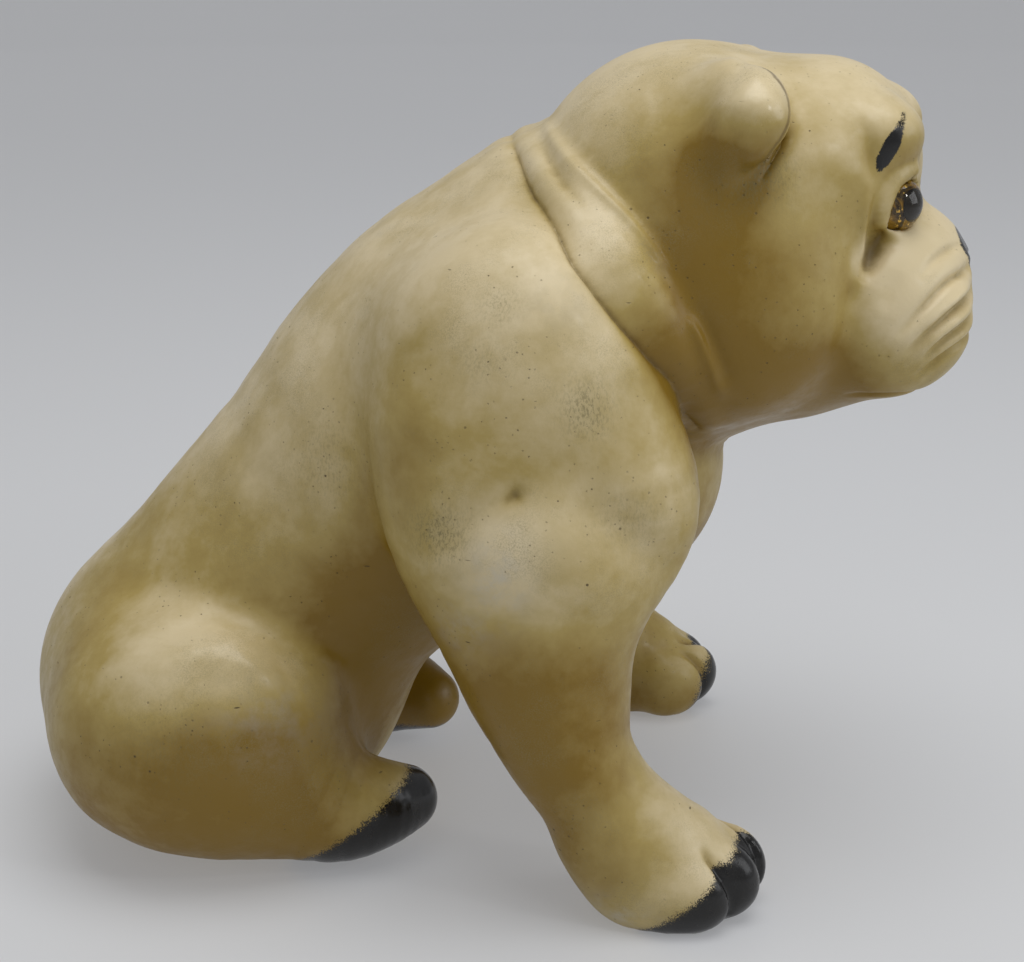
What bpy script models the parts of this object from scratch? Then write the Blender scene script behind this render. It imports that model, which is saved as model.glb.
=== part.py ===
"""Seated bulldog figurine: one hollow slip-cast ceramic shell with two glass eyes set in plaster.

The dog faces +X, its left side is +Y and it sits on Z = 0. The soft masses of the body are balls and
tapered limbs, fused on a fine grid and smoothed, then hollowed, cut flat underneath and bored for the
vent and the eye sockets. Everything is built in metres.
"""

import math

import bmesh
import bpy
from mathutils import Matrix, Vector
from mathutils.bvhtree import BVHTree

# Overall sizes of the finished dog
LENGTH = 0.304
WIDTH = 0.206
HEIGHT = 0.254

# Ceramic shell
WALL = 0.006
VENT_RADIUS = 0.008
VENT_AFT = 0.080  # vent centre, behind the middle of the dog

# Head
HEAD_TURN = math.radians(-10.0)  # towards the dog's right

# Glass eyes
EYE_RADIUS = 0.0083
PUPIL_RADIUS = 0.0042
IRIS_THICKNESS = 0.0008
BED_DEPTH = 0.0035
EYE_SPACING = 0.047
EYE_OUTWARD = math.radians(27.0)
EYE_INSET = 0.0030  # how far the dome's flat back lies under the face
LID_THICKNESS = 0.0024
GAP = 0.0003  # clearance between touching pieces

# The masses are drawn in millimetres on a dog of this size, then stretched to the overall sizes
DRAWN_LENGTH = 304.0
DRAWN_WIDTH = 206.0
DRAWN_HEIGHT = 254.0
STRETCH = Vector((LENGTH / DRAWN_LENGTH, WIDTH / DRAWN_WIDTH, HEIGHT / DRAWN_HEIGHT))
DRAWN_NECK_AXIS = (40, 0, 0)  # the head is turned about the upright line through this point
DRAWN_EYE_LEVEL = (78, 0, 209)  # inside the skull, between the eyes and at their height

VOXEL = 0.0022
SMOOTHING_STEPS = 14
OUTSIDE_TRIANGLES = 4200
CAVITY_TRIANGLES = 700
SMALLEST_CORE = 0.004  # a mass thinner than this inside its wall is cast solid
ROUND_STEPS = 32

COLLECTION_NAME = "ceramic_dog_figurine"
CUTTER_COLLECTION_NAME = "cutters"


def clear_scene():
    for old in list(bpy.data.objects):
        bpy.data.objects.remove(old, do_unlink=True)


def new_collection(name):
    collection = bpy.data.collections.new(name)
    bpy.context.scene.collection.children.link(collection)
    return collection


def material(name, colour, roughness, metallic=0.0, transmission=0.0):
    made = bpy.data.materials.new(name)
    made.use_nodes = True
    shader = made.node_tree.nodes["Principled BSDF"]
    shader.inputs["Base Color"].default_value = (*colour, 1.0)
    shader.inputs["Roughness"].default_value = roughness
    shader.inputs["Metallic"].default_value = metallic
    shader.inputs["Transmission Weight"].default_value = transmission
    made.diffuse_color = (*colour, 1.0)
    return made


def add_object(name, mesh, collection, finish=None):
    made = bpy.data.objects.new(name, mesh)
    collection.objects.link(made)
    if finish:
        mesh.materials.append(finish)
    return made


def bake(source):
    """Replace an object's mesh by what its modifiers make of it."""
    bpy.context.view_layer.update()
    evaluated = source.evaluated_get(bpy.context.evaluated_depsgraph_get())
    baked = bpy.data.meshes.new_from_object(evaluated)
    source.modifiers.clear()
    source.data = baked


def cut(target, cutter):
    difference = target.modifiers.new("cut", "BOOLEAN")
    difference.operation = "DIFFERENCE"
    difference.solver = "EXACT"
    difference.object = cutter
    bake(target)


class Clay:
    """Collects overlapping balls and limbs, all thinner by inset, and fuses them into one skin."""

    def __init__(self, inset=0.0):
        self.lumps = []
        self.inset = inset

    def add(self, make, place, **sizes):
        bm = bmesh.new()
        make(bm, matrix=place, **sizes)
        lump = bpy.data.meshes.new("lump")
        bm.to_mesh(lump)
        bm.free()
        self.lumps.append(lump)

    def ball(self, centre, radii, tilt=0.0, yaw=0.0, turned=False):
        """An ellipsoid in drawn millimetres, its nose dropped by tilt degrees and swung by yaw degrees."""
        stretched = [radius * scale for radius, scale in zip(radii, STRETCH)]
        cores = [radius - self.inset for radius in stretched]
        if min(cores) < SMALLEST_CORE:
            return
        turn = Matrix.Rotation(math.radians(yaw), 4, "Z") @ Matrix.Rotation(math.radians(tilt), 4, "Y")
        place = Matrix.Translation(stretch(centre)) @ turn @ Matrix.Diagonal((*cores, 1.0))
        if turned:
            place = head_matrix() @ place
        self.add(bmesh.ops.create_uvsphere, place, u_segments=48, v_segments=24, radius=1.0)

    def limb(self, joints, turned=False):
        """A chain of cones with round joints, each joint given as x, y, z and radius."""
        for start, end in zip(joints, joints[1:]):
            self.bone(start, end, turned)
        for *centre, radius in joints:
            self.ball(centre, (radius, radius, radius), turned=turned)

    def bone(self, start, end, turned):
        low, high = stretch(start[:3]), stretch(end[:3])
        thick = (STRETCH.x + STRETCH.y) / 2
        radii = [start[3] * thick - self.inset, end[3] * thick - self.inset]
        if min(radii) < SMALLEST_CORE:
            return
        along = high - low
        place = Matrix.Translation((low + high) / 2) @ along.to_track_quat("Z", "Y").to_matrix().to_4x4()
        if turned:
            place = head_matrix() @ place
        self.add(
            bmesh.ops.create_cone, place, cap_ends=True, segments=40,
            radius1=radii[0], radius2=radii[1], depth=along.length,
        )

    def ring(self, place, radius, thickness):
        """A round lid: a ring of small balls about the local X axis."""
        for step in range(ROUND_STEPS):
            angle = 2 * math.pi * step / ROUND_STEPS
            spot = place @ Vector((0.0, radius * math.cos(angle), radius * math.sin(angle)))
            ball_place = Matrix.Translation(spot)
            self.add(bmesh.ops.create_uvsphere, ball_place, u_segments=12, v_segments=8, radius=thickness)

    def fuse(self, name, collection, triangles):
        bm = bmesh.new()
        for lump in self.lumps:
            bm.from_mesh(lump)
            bpy.data.meshes.remove(lump)
        mesh = bpy.data.meshes.new(name)
        bm.to_mesh(mesh)
        bm.free()
        made = add_object(name, mesh, collection)
        remesh = made.modifiers.new("fuse", "REMESH")
        remesh.mode = "VOXEL"
        remesh.voxel_size = VOXEL
        smooth = made.modifiers.new("smooth", "SMOOTH")
        smooth.factor = 0.5
        smooth.iterations = SMOOTHING_STEPS
        bake(made)
        made.data.calc_loop_triangles()
        decimate = made.modifiers.new("coarsen", "DECIMATE")
        decimate.ratio = triangles / len(made.data.loop_triangles)
        bake(made)
        return made


def stretch(point):
    return Vector(point) * STRETCH


def head_matrix():
    pivot = Matrix.Translation(stretch(DRAWN_NECK_AXIS))
    return pivot @ Matrix.Rotation(HEAD_TURN, 4, "Z") @ pivot.inverted()


def torso(clay):
    clay.limb([(-92, 0, 46, 55), (-60, 0, 88, 50), (-14, 0, 134, 57), (18, 0, 172, 48)])  # spine
    clay.ball((-93, 0, 43), (61, 60, 52))  # rump
    clay.ball((-13, 0, 135), (60, 63, 58), tilt=-45)  # ribcage
    clay.ball((26, 0, 124), (42, 52, 44))  # brisket
    clay.ball((4, 0, 161), (48, 62, 47))  # withers
    clay.ball((28, 0, 181), (46, 60, 45), tilt=-40)  # neck


def haunch(clay, side):
    clay.ball((-91, 48 * side, 50), (51, 37, 47), tilt=-12)  # thigh
    clay.limb([(-74, 50 * side, 30, 26), (-44, 50 * side, 18, 18), (-31, 48 * side, 16, 17)])  # foot


def foreleg(clay, side):
    clay.ball((8, 60 * side, 152), (42, 36, 54), tilt=6)  # shoulder
    clay.limb([(26, 66 * side, 150, 26), (32, 71 * side, 133, 24), (20, 76 * side, 112, 22)])  # front of arm
    clay.limb([(-8, 66 * side, 146, 26), (-5, 71 * side, 122, 26), (6, 77 * side, 100, 22)])  # back of arm
    clay.limb([
        (14, 77 * side, 116, 27), (14, 79 * side, 94, 24.5), (19, 82 * side, 72, 21.5),
        (23, 84 * side, 56, 18.5), (30, 84 * side, 42, 18), (40, 83 * side, 26, 19),
    ])
    clay.limb([(38, 83 * side, 24, 20), (60, 80 * side, 14, 18)])  # instep
    clay.ball((54, 81 * side, 13), (30, 22, 18), yaw=12 * side)  # paw


def head(clay):
    clay.ball((62, 0, 199), (53, 58, 55), turned=True)  # skull
    clay.ball((100, 0, 216), (34, 46, 32), turned=True)  # brow
    clay.ball((117, 0, 180), (34, 34, 29), turned=True)  # muzzle
    clay.ball((117, 0, 161), (26, 28, 18), turned=True)  # chin
    clay.ball((90, 0, 166), (42, 38, 26), turned=True)  # lower jaw
    clay.ball((56, 0, 156), (32, 46, 32), turned=True)  # throat
    for side in (1, -1):
        clay.ball((72, 22 * side, 214), (42, 33, 34), turned=True)  # temple
        clay.ball((72, 34 * side, 181), (42, 28, 38), turned=True)  # cheek
        clay.ball((120, 18 * side, 168), (25, 20, 23), turned=True)  # flew


def ear(clay, side):
    clay.limb([
        (74, 38 * side, 234, 10), (77, 48 * side, 237, 9.5), (75, 54 * side, 232, 9),
        (72, 58 * side, 225, 7), (70, 60 * side, 218, 5.5),
    ], turned=True)


def both_sides(shape, clay):
    for side in (1, -1):
        shape(clay, side)


def eye_frame(surface, side):
    """Where an eye sits: local X points out of the socket, the origin is the dome's flat back."""
    outward = Vector((math.cos(EYE_OUTWARD), side * math.sin(EYE_OUTWARD), 0.0))
    head_turn = head_matrix()
    start = stretch(DRAWN_EYE_LEVEL) + Vector((0.0, side * EYE_SPACING / 2, 0.0))
    ahead = head_turn.to_3x3() @ Vector((1.0, 0.0, 0.0))
    hit = surface.ray_cast(head_turn @ start, ahead)[0]
    axis = head_turn.to_3x3() @ outward
    side_axis = Vector((0.0, 0.0, 1.0)).cross(axis).normalized()
    up_axis = axis.cross(side_axis)
    turn = Matrix((axis, side_axis, up_axis)).transposed().to_4x4()
    return Matrix.Translation(hit - axis * EYE_INSET) @ turn


def cylinder(name, radius, low, high, collection, place, finish=None):
    """A cylinder about the local X axis, from low to high."""
    bm = bmesh.new()
    shift = Matrix.Translation(((low + high) / 2, 0.0, 0.0)) @ Matrix.Rotation(math.pi / 2, 4, "Y")
    bmesh.ops.create_cone(
        bm, cap_ends=True, segments=ROUND_STEPS, radius1=radius, radius2=radius,
        depth=high - low, matrix=shift,
    )
    mesh = bpy.data.meshes.new(name)
    bm.to_mesh(mesh)
    bm.free()
    made = add_object(name, mesh, collection, finish)
    made.matrix_world = place
    return made


def dome(name, radius, collection, place, finish):
    """The outward half of a ball, closed by a flat back at the local origin."""
    bm = bmesh.new()
    bmesh.ops.create_uvsphere(
        bm, u_segments=ROUND_STEPS, v_segments=ROUND_STEPS // 2, radius=radius,
        matrix=Matrix.Rotation(math.pi / 2, 4, "Y"),
    )
    whole = bm.verts[:] + bm.edges[:] + bm.faces[:]
    bmesh.ops.bisect_plane(
        bm, geom=whole, plane_co=(0.0, 0.0, 0.0), plane_no=(1.0, 0.0, 0.0), clear_inner=True
    )
    rim = [edge for edge in bm.edges if edge.is_boundary]
    bmesh.ops.contextual_create(bm, geom=rim)
    bmesh.ops.recalc_face_normals(bm, faces=bm.faces[:])
    mesh = bpy.data.meshes.new(name)
    bm.to_mesh(mesh)
    bm.free()
    mesh.shade_smooth()
    made = add_object(name, mesh, collection, finish)
    made.matrix_world = place
    return made


def eye(side, place, parts, cutters, finishes):
    name = "left" if side > 0 else "right"
    iris_front = -GAP
    iris_back = iris_front - IRIS_THICKNESS
    bed_front = iris_back - GAP
    bed_back = bed_front - BED_DEPTH
    dome(f"eye_glass_{name}", EYE_RADIUS, parts, place, finishes["glass"])
    iris = cylinder(f"eye_iris_{name}", EYE_RADIUS, iris_back, iris_front, parts, place, finishes["amber"])
    bore = cylinder(f"iris_bore_{name}", PUPIL_RADIUS + GAP, iris_back * 2, IRIS_THICKNESS, cutters, place)
    cut(iris, bore)
    cylinder(f"eye_pupil_{name}", PUPIL_RADIUS, iris_back, iris_front, parts, place, finishes["black"])
    cylinder(f"eye_bed_{name}", EYE_RADIUS, bed_back, bed_front, parts, place, finishes["plaster"])
    reach = EYE_RADIUS * 2
    return cylinder(f"socket_{name}", EYE_RADIUS + GAP, bed_back - GAP, reach, cutters, place)


def slab(name, centre, size, collection):
    bm = bmesh.new()
    bmesh.ops.create_cube(bm, size=1.0, matrix=Matrix.Translation(centre) @ Matrix.Diagonal((*size, 1.0)))
    mesh = bpy.data.meshes.new(name)
    bm.to_mesh(mesh)
    bm.free()
    return add_object(name, mesh, collection)


def body_masses(inset=0.0):
    clay = Clay(inset)
    torso(clay)
    both_sides(haunch, clay)
    both_sides(foreleg, clay)
    head(clay)
    return clay


def surface_of(made):
    made.data.calc_loop_triangles()
    corners = [vertex.co for vertex in made.data.vertices]
    return BVHTree.FromPolygons(corners, [face.vertices for face in made.data.loop_triangles])


def build_body(parts, cutters, finish):
    plain = body_masses().fuse("plain_form", cutters, OUTSIDE_TRIANGLES)
    surface = surface_of(plain)
    places = {side: eye_frame(surface, side) for side in (1, -1)}
    clay = body_masses()
    both_sides(ear, clay)
    for place in places.values():
        rim = place @ Matrix.Translation((EYE_INSET, 0.0, 0.0))
        clay.ring(rim, EYE_RADIUS + LID_THICKNESS, LID_THICKNESS)
    body = clay.fuse("dog_body", parts, OUTSIDE_TRIANGLES)
    body.data.materials.append(finish)
    return body, places


def hollow(body, places, cutters):
    cavity = body_masses(inset=WALL).fuse("cavity", cutters, CAVITY_TRIANGLES)
    for side, place in places.items():
        boss_radius = EYE_RADIUS + BED_DEPTH + 2 * WALL
        boss = add_object(f"eye_boss_{side}", bpy.data.meshes.new("boss"), cutters)
        bm = bmesh.new()
        bmesh.ops.create_uvsphere(bm, u_segments=24, v_segments=12, radius=boss_radius)
        bm.to_mesh(boss.data)
        bm.free()
        boss.matrix_world = place
        cut(cavity, boss)
    floor_slab = slab("inner_floor", (0.0, 0.0, WALL - HEIGHT / 2), (2 * LENGTH, 2 * WIDTH, HEIGHT), cutters)
    cut(cavity, floor_slab)
    cut(body, cavity)


def stand(parts):
    """Centre the finished dog over the origin, standing on Z = 0."""
    bpy.context.view_layer.update()
    corners = [piece.matrix_world @ Vector(corner) for piece in parts.objects for corner in piece.bound_box]
    low = [min(corner[axis] for corner in corners) for axis in range(3)]
    high = [max(corner[axis] for corner in corners) for axis in range(3)]
    shift = Matrix.Translation((-(low[0] + high[0]) / 2, -(low[1] + high[1]) / 2, -low[2]))
    for piece in parts.objects:
        piece.matrix_world = shift @ piece.matrix_world


def main():
    clear_scene()
    parts = new_collection(COLLECTION_NAME)
    cutters = new_collection(CUTTER_COLLECTION_NAME)
    finishes = {
        "glaze": material("cream_glaze", (0.62, 0.52, 0.31), 0.42),
        "glass": material("clear_glass", (0.95, 0.97, 0.98), 0.03, transmission=1.0),
        "amber": material("amber_enamel", (0.42, 0.16, 0.02), 0.25),
        "black": material("black_glass", (0.01, 0.01, 0.01), 0.08),
        "plaster": material("plaster", (0.78, 0.75, 0.68), 0.85),
    }
    body, places = build_body(parts, cutters, finishes["glaze"])
    hollow(body, places, cutters)
    sockets = [eye(side, place, parts, cutters, finishes) for side, place in places.items()]
    ground = slab("ground", (0.0, 0.0, -HEIGHT / 2), (2 * LENGTH, 2 * WIDTH, HEIGHT), cutters)
    upright = Matrix.Rotation(math.pi / 2, 4, "Y")
    vent_place = Matrix.Translation((-VENT_AFT, 0.0, 0.0)) @ upright
    vent = cylinder("vent", VENT_RADIUS, -3 * WALL, 3 * WALL, cutters, vent_place)
    for cutter in (ground, vent, *sockets):
        cut(body, cutter)
    for cutter in cutters.objects:
        cutter.hide_render = True
        cutter.display_type = "WIRE"
    stand(parts)


main()
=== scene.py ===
"""Seated bulldog figurine with glass eyes: camera, stage, lights and the finished surfaces."""

import math

import bmesh
import bpy
import numpy as np
from mathutils import Matrix, Vector


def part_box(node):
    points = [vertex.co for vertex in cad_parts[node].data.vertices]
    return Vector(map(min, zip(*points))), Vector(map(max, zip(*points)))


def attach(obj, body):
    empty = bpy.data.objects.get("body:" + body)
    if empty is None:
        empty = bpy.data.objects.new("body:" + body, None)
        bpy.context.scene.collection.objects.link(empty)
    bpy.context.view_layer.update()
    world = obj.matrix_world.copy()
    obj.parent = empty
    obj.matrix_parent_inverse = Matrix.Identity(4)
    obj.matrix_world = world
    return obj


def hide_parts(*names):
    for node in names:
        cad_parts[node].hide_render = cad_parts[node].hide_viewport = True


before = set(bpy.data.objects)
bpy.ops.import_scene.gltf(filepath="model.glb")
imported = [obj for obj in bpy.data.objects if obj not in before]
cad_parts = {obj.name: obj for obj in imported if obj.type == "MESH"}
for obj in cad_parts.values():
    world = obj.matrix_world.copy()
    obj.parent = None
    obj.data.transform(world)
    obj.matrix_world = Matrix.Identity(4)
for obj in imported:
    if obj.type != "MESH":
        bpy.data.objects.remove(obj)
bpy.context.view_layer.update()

MM = 0.001

# --------------------------------------------------------------------------------------------------
# Camera: beside the dog's right flank, looking down at it a little
# --------------------------------------------------------------------------------------------------

CAMERA_AT = (0.00796, -0.63356, 0.3052)
CAMERA_DOWN = 17.0  # degrees below level
LENS = 70.84

camera = bpy.data.objects.new("studio_camera", bpy.data.cameras.new("studio_camera"))
bpy.context.collection.objects.link(camera)
camera.location = CAMERA_AT
camera.rotation_euler = (math.radians(90.0 - CAMERA_DOWN), 0.0, 0.0)
camera.data.lens = LENS
camera.data.sensor_width = 36.0
camera.data.clip_start, camera.data.clip_end = 0.05, 20.0
bpy.context.scene.camera = camera

# --------------------------------------------------------------------------------------------------
# Stage and light: a round pale floor swept up into a low wall, and broad soft lamps
# --------------------------------------------------------------------------------------------------

SWEEP = [  # radius and height of the stage's profile, in metres
    (0.0, 0.0), (0.4, 0.0), (1.2, 0.0), (2.4, 0.0), (2.8, 0.02), (3.2, 0.14), (3.45, 0.4),
    (3.55, 0.8), (3.6, 1.6), (3.6, 2.6),
]
STAGE_SEGMENTS = 96
FLOOR_COLOUR = (0.44, 0.45, 0.465, 1.0)
FLOOR_GLOW = (0.90, 0.90, 0.915, 1.0)
FLOOR_GLOW_STRENGTH = 0.24
SKY_COLOUR = (0.93, 0.96, 1.0, 1.0)
SKY_STRENGTH = 0.22
LAMPS = [  # name, place, point it faces, size, watts, colour
    ("key", (0.10, -0.12, 1.30), (0.0, 0.0, 0.1), 1.0, 9.5, (1.0, 0.985, 0.96)),
    ("fill", (-0.5, -1.6, 0.9), (0.0, 0.0, 0.12), 1.2, 1.5, (0.95, 0.97, 1.0)),
    ("glint", (0.90, -0.74, 0.96), (0.10, -0.05, 0.18), 0.15, 1.3, (1.0, 1.0, 1.0)),
    ("side", (1.2, -0.25, 0.55), (0.0, 0.0, 0.15), 0.7, 2.6, (0.95, 0.97, 1.0)),
]


def stage_floor():
    mesh = bpy.data.meshes.new("floor")
    bm = bmesh.new()
    rings = []
    for radius, height in SWEEP:
        turns = STAGE_SEGMENTS if radius else 1
        rings.append([
            bm.verts.new((
                radius * math.cos(2 * math.pi * turn / turns),
                radius * math.sin(2 * math.pi * turn / turns), height,
            ))
            for turn in range(turns)
        ])
    for inner, outer in zip(rings, rings[1:]):
        for turn in range(STAGE_SEGMENTS):
            after = (turn + 1) % STAGE_SEGMENTS
            corners = [inner[turn % len(inner)], outer[turn], outer[after], inner[after % len(inner)]]
            bm.faces.new(list(dict.fromkeys(corners)))
    bm.to_mesh(mesh)
    bm.free()
    mesh.polygons.foreach_set("use_smooth", [True] * len(mesh.polygons))
    floor = bpy.data.objects.new("floor", mesh)
    bpy.context.collection.objects.link(floor)
    paper = bpy.data.materials.new("floor_paper")
    paper.use_nodes = True
    shader = paper.node_tree.nodes["Principled BSDF"]
    shader.inputs["Base Color"].default_value = FLOOR_COLOUR
    shader.inputs["Roughness"].default_value = 0.5
    shader.inputs["Emission Color"].default_value = FLOOR_GLOW
    shader.inputs["Emission Strength"].default_value = FLOOR_GLOW_STRENGTH
    mesh.materials.append(paper)


def sky_light():
    world = bpy.data.worlds.new("studio")
    bpy.context.scene.world = world
    world.use_nodes = True
    sky = world.node_tree.nodes["Background"]
    sky.inputs["Color"].default_value = SKY_COLOUR
    sky.inputs["Strength"].default_value = SKY_STRENGTH


def soft_lamps():
    for name, place, target, size, watts, colour in LAMPS:
        light = bpy.data.lights.new(name, "AREA")
        light.size, light.energy, light.color = size, watts, colour
        lamp = bpy.data.objects.new(name, light)
        bpy.context.collection.objects.link(lamp)
        lamp.location = place
        towards = Vector(target) - Vector(place)
        lamp.rotation_euler = towards.to_track_quat("-Z", "Y").to_euler()


stage_floor()
sky_light()
soft_lamps()
bpy.context.scene.view_settings.view_transform = "Standard"

# --------------------------------------------------------------------------------------------------
# Form: the dog as one signed distance field, in drawn millimetres. Its right side is -Y, and paired
# parts are drawn on that side only. Distances are negative inside the clay.
# --------------------------------------------------------------------------------------------------

HEAD_TURN = -10.0  # degrees, towards the dog's right
NECK_AXIS_X = 40.0  # the head turns about an upright line here
DRAWN_EYES = (123.7, -14.8, 209.0)  # midway between the two glass eyes
EYE_SPACING = 46.0
EYE_OUTWARD = 27.0  # degrees that each eye looks away from straight ahead
EYE_RADIUS = 8.3
LEFT_FOOT_FORWARD = 5.0  # the left haunch and hind foot sit further forward than the right
LEFT_EAR_LOWER = 4.0  # the left ear sits lower than the right
REACH = 30.0  # how far from a limb its distance is worked out


def turn_about(axis, degrees):
    first, second = {"x": (1, 2), "y": (2, 0), "z": (0, 1)}[axis]
    matrix = np.eye(3, dtype=np.float32)
    cosine, sine = math.cos(math.radians(degrees)), math.sin(math.radians(degrees))
    matrix[first, first] = matrix[second, second] = cosine
    matrix[first, second], matrix[second, first] = -sine, sine
    return matrix


def into_head(points):
    """Points seen in the head's own frame, where it looks along +X."""
    pivot = np.array([NECK_AXIS_X, 0.0, 0.0], np.float32)
    return (points - pivot) @ turn_about("z", HEAD_TURN) + pivot


def out_of_head(points):
    pivot = np.array([NECK_AXIS_X, 0.0, 0.0], np.float32)
    return (np.asarray(points, np.float32) - pivot) @ turn_about("z", HEAD_TURN).T + pivot


def on_right(points):
    return points * np.array([1, 0, 1], np.float32) - np.abs(points) * np.array([0, 1, 0], np.float32)


def ramp(values, low, high):
    """0 below low, 1 above high and smooth between them; low may be the larger."""
    share = np.clip((values - low) / (high - low), 0.0, 1.0)
    return share * share * (3.0 - 2.0 * share)


def ball(points, centre, radii, tilt=0.0, yaw=0.0):
    local = points - np.asarray(centre, np.float32)
    if yaw:
        local = local @ turn_about("z", yaw)
    if tilt:
        local = local @ turn_about("y", tilt)
    radii = np.asarray(radii, np.float32)
    near = np.sqrt(((local / radii) ** 2).sum(1))
    slope = np.sqrt(((local / radii**2) ** 2).sum(1))
    return near * (near - 1.0) / np.maximum(slope, 1e-6)


def smooth_path(joints, steps=4):
    """A Catmull-Rom curve through the joints, radius included."""
    knots = np.array([joints[0], *joints, joints[-1]], np.float64)
    path = [knots[1]]
    for first, start, end, last in zip(knots, knots[1:], knots[2:], knots[3:]):
        for step in range(1, steps + 1):
            t = step / steps
            path.append(0.5 * (
                2 * start + (end - first) * t + (2 * first - 5 * start + 4 * end - last) * t**2
                + (3 * start - first - 3 * end + last) * t**3
            ))
    return np.array(path, np.float32)


def limb(points, joints, steps=4):
    """A smoothly tapered limb through joints given as x, y, z and radius."""
    path = smooth_path(joints, steps) if len(joints) > 2 else np.array(joints, np.float32)
    reach = path[:, 3:].max() + REACH
    near = ((points > path[:, :3].min(0) - reach) & (points < path[:, :3].max(0) + reach)).all(1)
    close = points[near]
    best = np.full(len(close), REACH, np.float32)
    for start, end in zip(path, path[1:]):
        along = end[:3] - start[:3]
        share = np.clip(((close - start[:3]) @ along) / (along @ along), 0.0, 1.0)
        gap = np.sqrt(((close - start[:3] - share[:, None] * along) ** 2).sum(1))
        best = np.minimum(best, gap - (start[3] + (end[3] - start[3]) * share))
    distance = np.full(len(points), REACH, np.float32)
    distance[near] = best
    return distance


def blend(one, other, width):
    """The union of two fields with a fillet of that width."""
    share = np.clip(0.5 + 0.5 * (other - one) / width, 0.0, 1.0)
    return other + (one - other) * share - width * share * (1.0 - share)


def carve(one, tool, width):
    return -blend(-one, tool, width)


def torso(p):
    d = limb(p, [(-92, 0, 46, 55), (-60, 0, 88, 52.5), (-14, 0, 134, 57), (18, 0, 172, 48)])
    d = blend(d, ball(p, (-91, 0, 44), (60, 57, 51)), 12)
    d = blend(d, ball(p, (-13, 0, 135), (60, 62, 57), tilt=-45), 16)
    d = blend(d, ball(p, (32, 0, 120), (43, 48, 44)), 16)
    return blend(d, ball(p, (4, 0, 161), (48, 61, 46)), 18)


def haunch(p):
    d = ball(p, (-91, -48, 45), (46, 36, 41), tilt=-10)
    foot = limb(p, [
        (-74, -50, 30, 24), (-52, -50, 20, 19), (-39, -47, 18, 15), (-29, -41, 17, 11),
    ])
    return blend(d, foot, 13)


def foreleg(p):
    d = ball(p, (8, -60, 152), (42, 36, 54), tilt=6)
    front = limb(p, [
        (24, -64, 156, 26), (34.5, -70, 132, 26), (34, -74, 117, 23.5), (21.5, -76, 98, 21),
    ])
    back = limb(p, [(-8, -66, 146, 25), (-6, -71, 122, 25.5), (2, -76, 98, 22), (10, -78, 80, 19)])
    d = blend(blend(d, front, 10), back, 10)
    shin = limb(p, [
        (14, -77, 116, 27), (16, -78, 94, 25.5), (18, -79.5, 72, 23.5), (22, -82, 56, 19.5),
        (29.5, -83, 42, 17.5), (40, -83, 26, 18),
    ])
    d = blend(d, shin, 10)
    return blend(d, paw(p), 7)


TOES = [  # x, y, z, length, width and height of each toe, outer toe first
    (57, -93, 11, 15, 9.5, 12), (66, -86, 12.5, 15, 9.5, 13), (70, -76, 12.5, 14, 9, 13),
    (64, -67, 11, 14, 9, 12),
]


def paw(p):
    d = limb(p, [(38, -83, 26, 18), (54, -81, 17, 18)])
    toes = None
    for x, y, z, length, width, height in TOES:
        toe = ball(p, (x, y, z), (length, width, height), yaw=-14, tilt=8)
        toes = toe if toes is None else blend(toes, toe, 2.5)
    d = blend(d, ball(p, (50, -82, 12), (24, 21, 17), yaw=-12), 6)
    return blend(d, toes, 3.5)


def neck(p):
    return ball(p, (28, 0, 181), (46, 62, 45), tilt=-40)


def neck_roll(p):
    """The fold of loose skin in front of the shoulder, from the nape to the throat."""
    return limb(p, [
        (12, -8, 215, 10), (22, -36, 211, 10.5), (29, -52, 203, 10.5), (37, -62, 193, 10.5),
        (46, -64, 179, 10.5), (55, -58, 165, 10), (62, -46, 150, 8),
    ])


def face(h):
    """The head in its own frame, folded to the right side."""
    d = ball(h, (62, 0, 199), (53, 58, 55))
    d = blend(d, ball(h, (72, -22, 214), (42, 33, 34)), 10)
    d = blend(d, ball(h, (101, 0, 218), (32, 43, 32)), 10)
    d = blend(d, ball(h, (72, -34, 181), (42, 28, 38)), 14)
    jaw = ball(h, (86, 0, 163), (43, 38, 27))
    jaw = blend(jaw, ball(h, (56, 0, 156), (32, 46, 32)), 14)
    d = blend(d, jaw, 10)
    d = blend(d, ball(h, (118, -20, 229), (14.5, 15, 11.5)), 6)
    return blend(d, muzzle(h), 7)


def muzzle(h):
    d = ball(h, (116, 0, 183), (34.5, 36, 27))
    d = blend(d, ball(h, (122, -19, 173.5), (28, 21.5, 24.5)), 8)
    d = blend(d, ball(h, (115, 0, 163), (26, 29, 17)), 6)
    recess = ball(h, (160, 0, 187), (16, 9.5, 18))
    d = carve(d, recess, 4)
    wing = ball(h, (142.5, -6.5, 187.5), (7, 6, 6.5))
    leather = blend(ball(h, (139, 0, 189.5), (9.5, 12, 8.5)), wing, 2)
    d = blend(d, leather, 2)
    nostril = ball(h, (150.5, -5.8, 187.5), (4.5, 2.2, 2.7), yaw=20)
    return carve(d, nostril, 1.2)


def ear(h):
    lobe = limb(h, [(79.5, -40, 241.5, 9.3), (84, -48, 241, 9.3), (84.5, -54, 237, 8.8)], 10)
    tip = limb(h, [(84.5, -54, 237, 8.8), (82.5, -56, 230.5, 7.2)])
    return blend(lobe, tip, 5)


def eye_place():
    """Centre of the right glass eye's flat back and its outward direction, in the head's frame."""
    middle = into_head(np.array([DRAWN_EYES], np.float32))[0]
    centre = np.array([middle[0], -EYE_SPACING / 2, middle[2]], np.float32)
    angle = math.radians(EYE_OUTWARD)
    return centre, np.array([math.cos(angle), -math.sin(angle), 0.0], np.float32)


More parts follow.
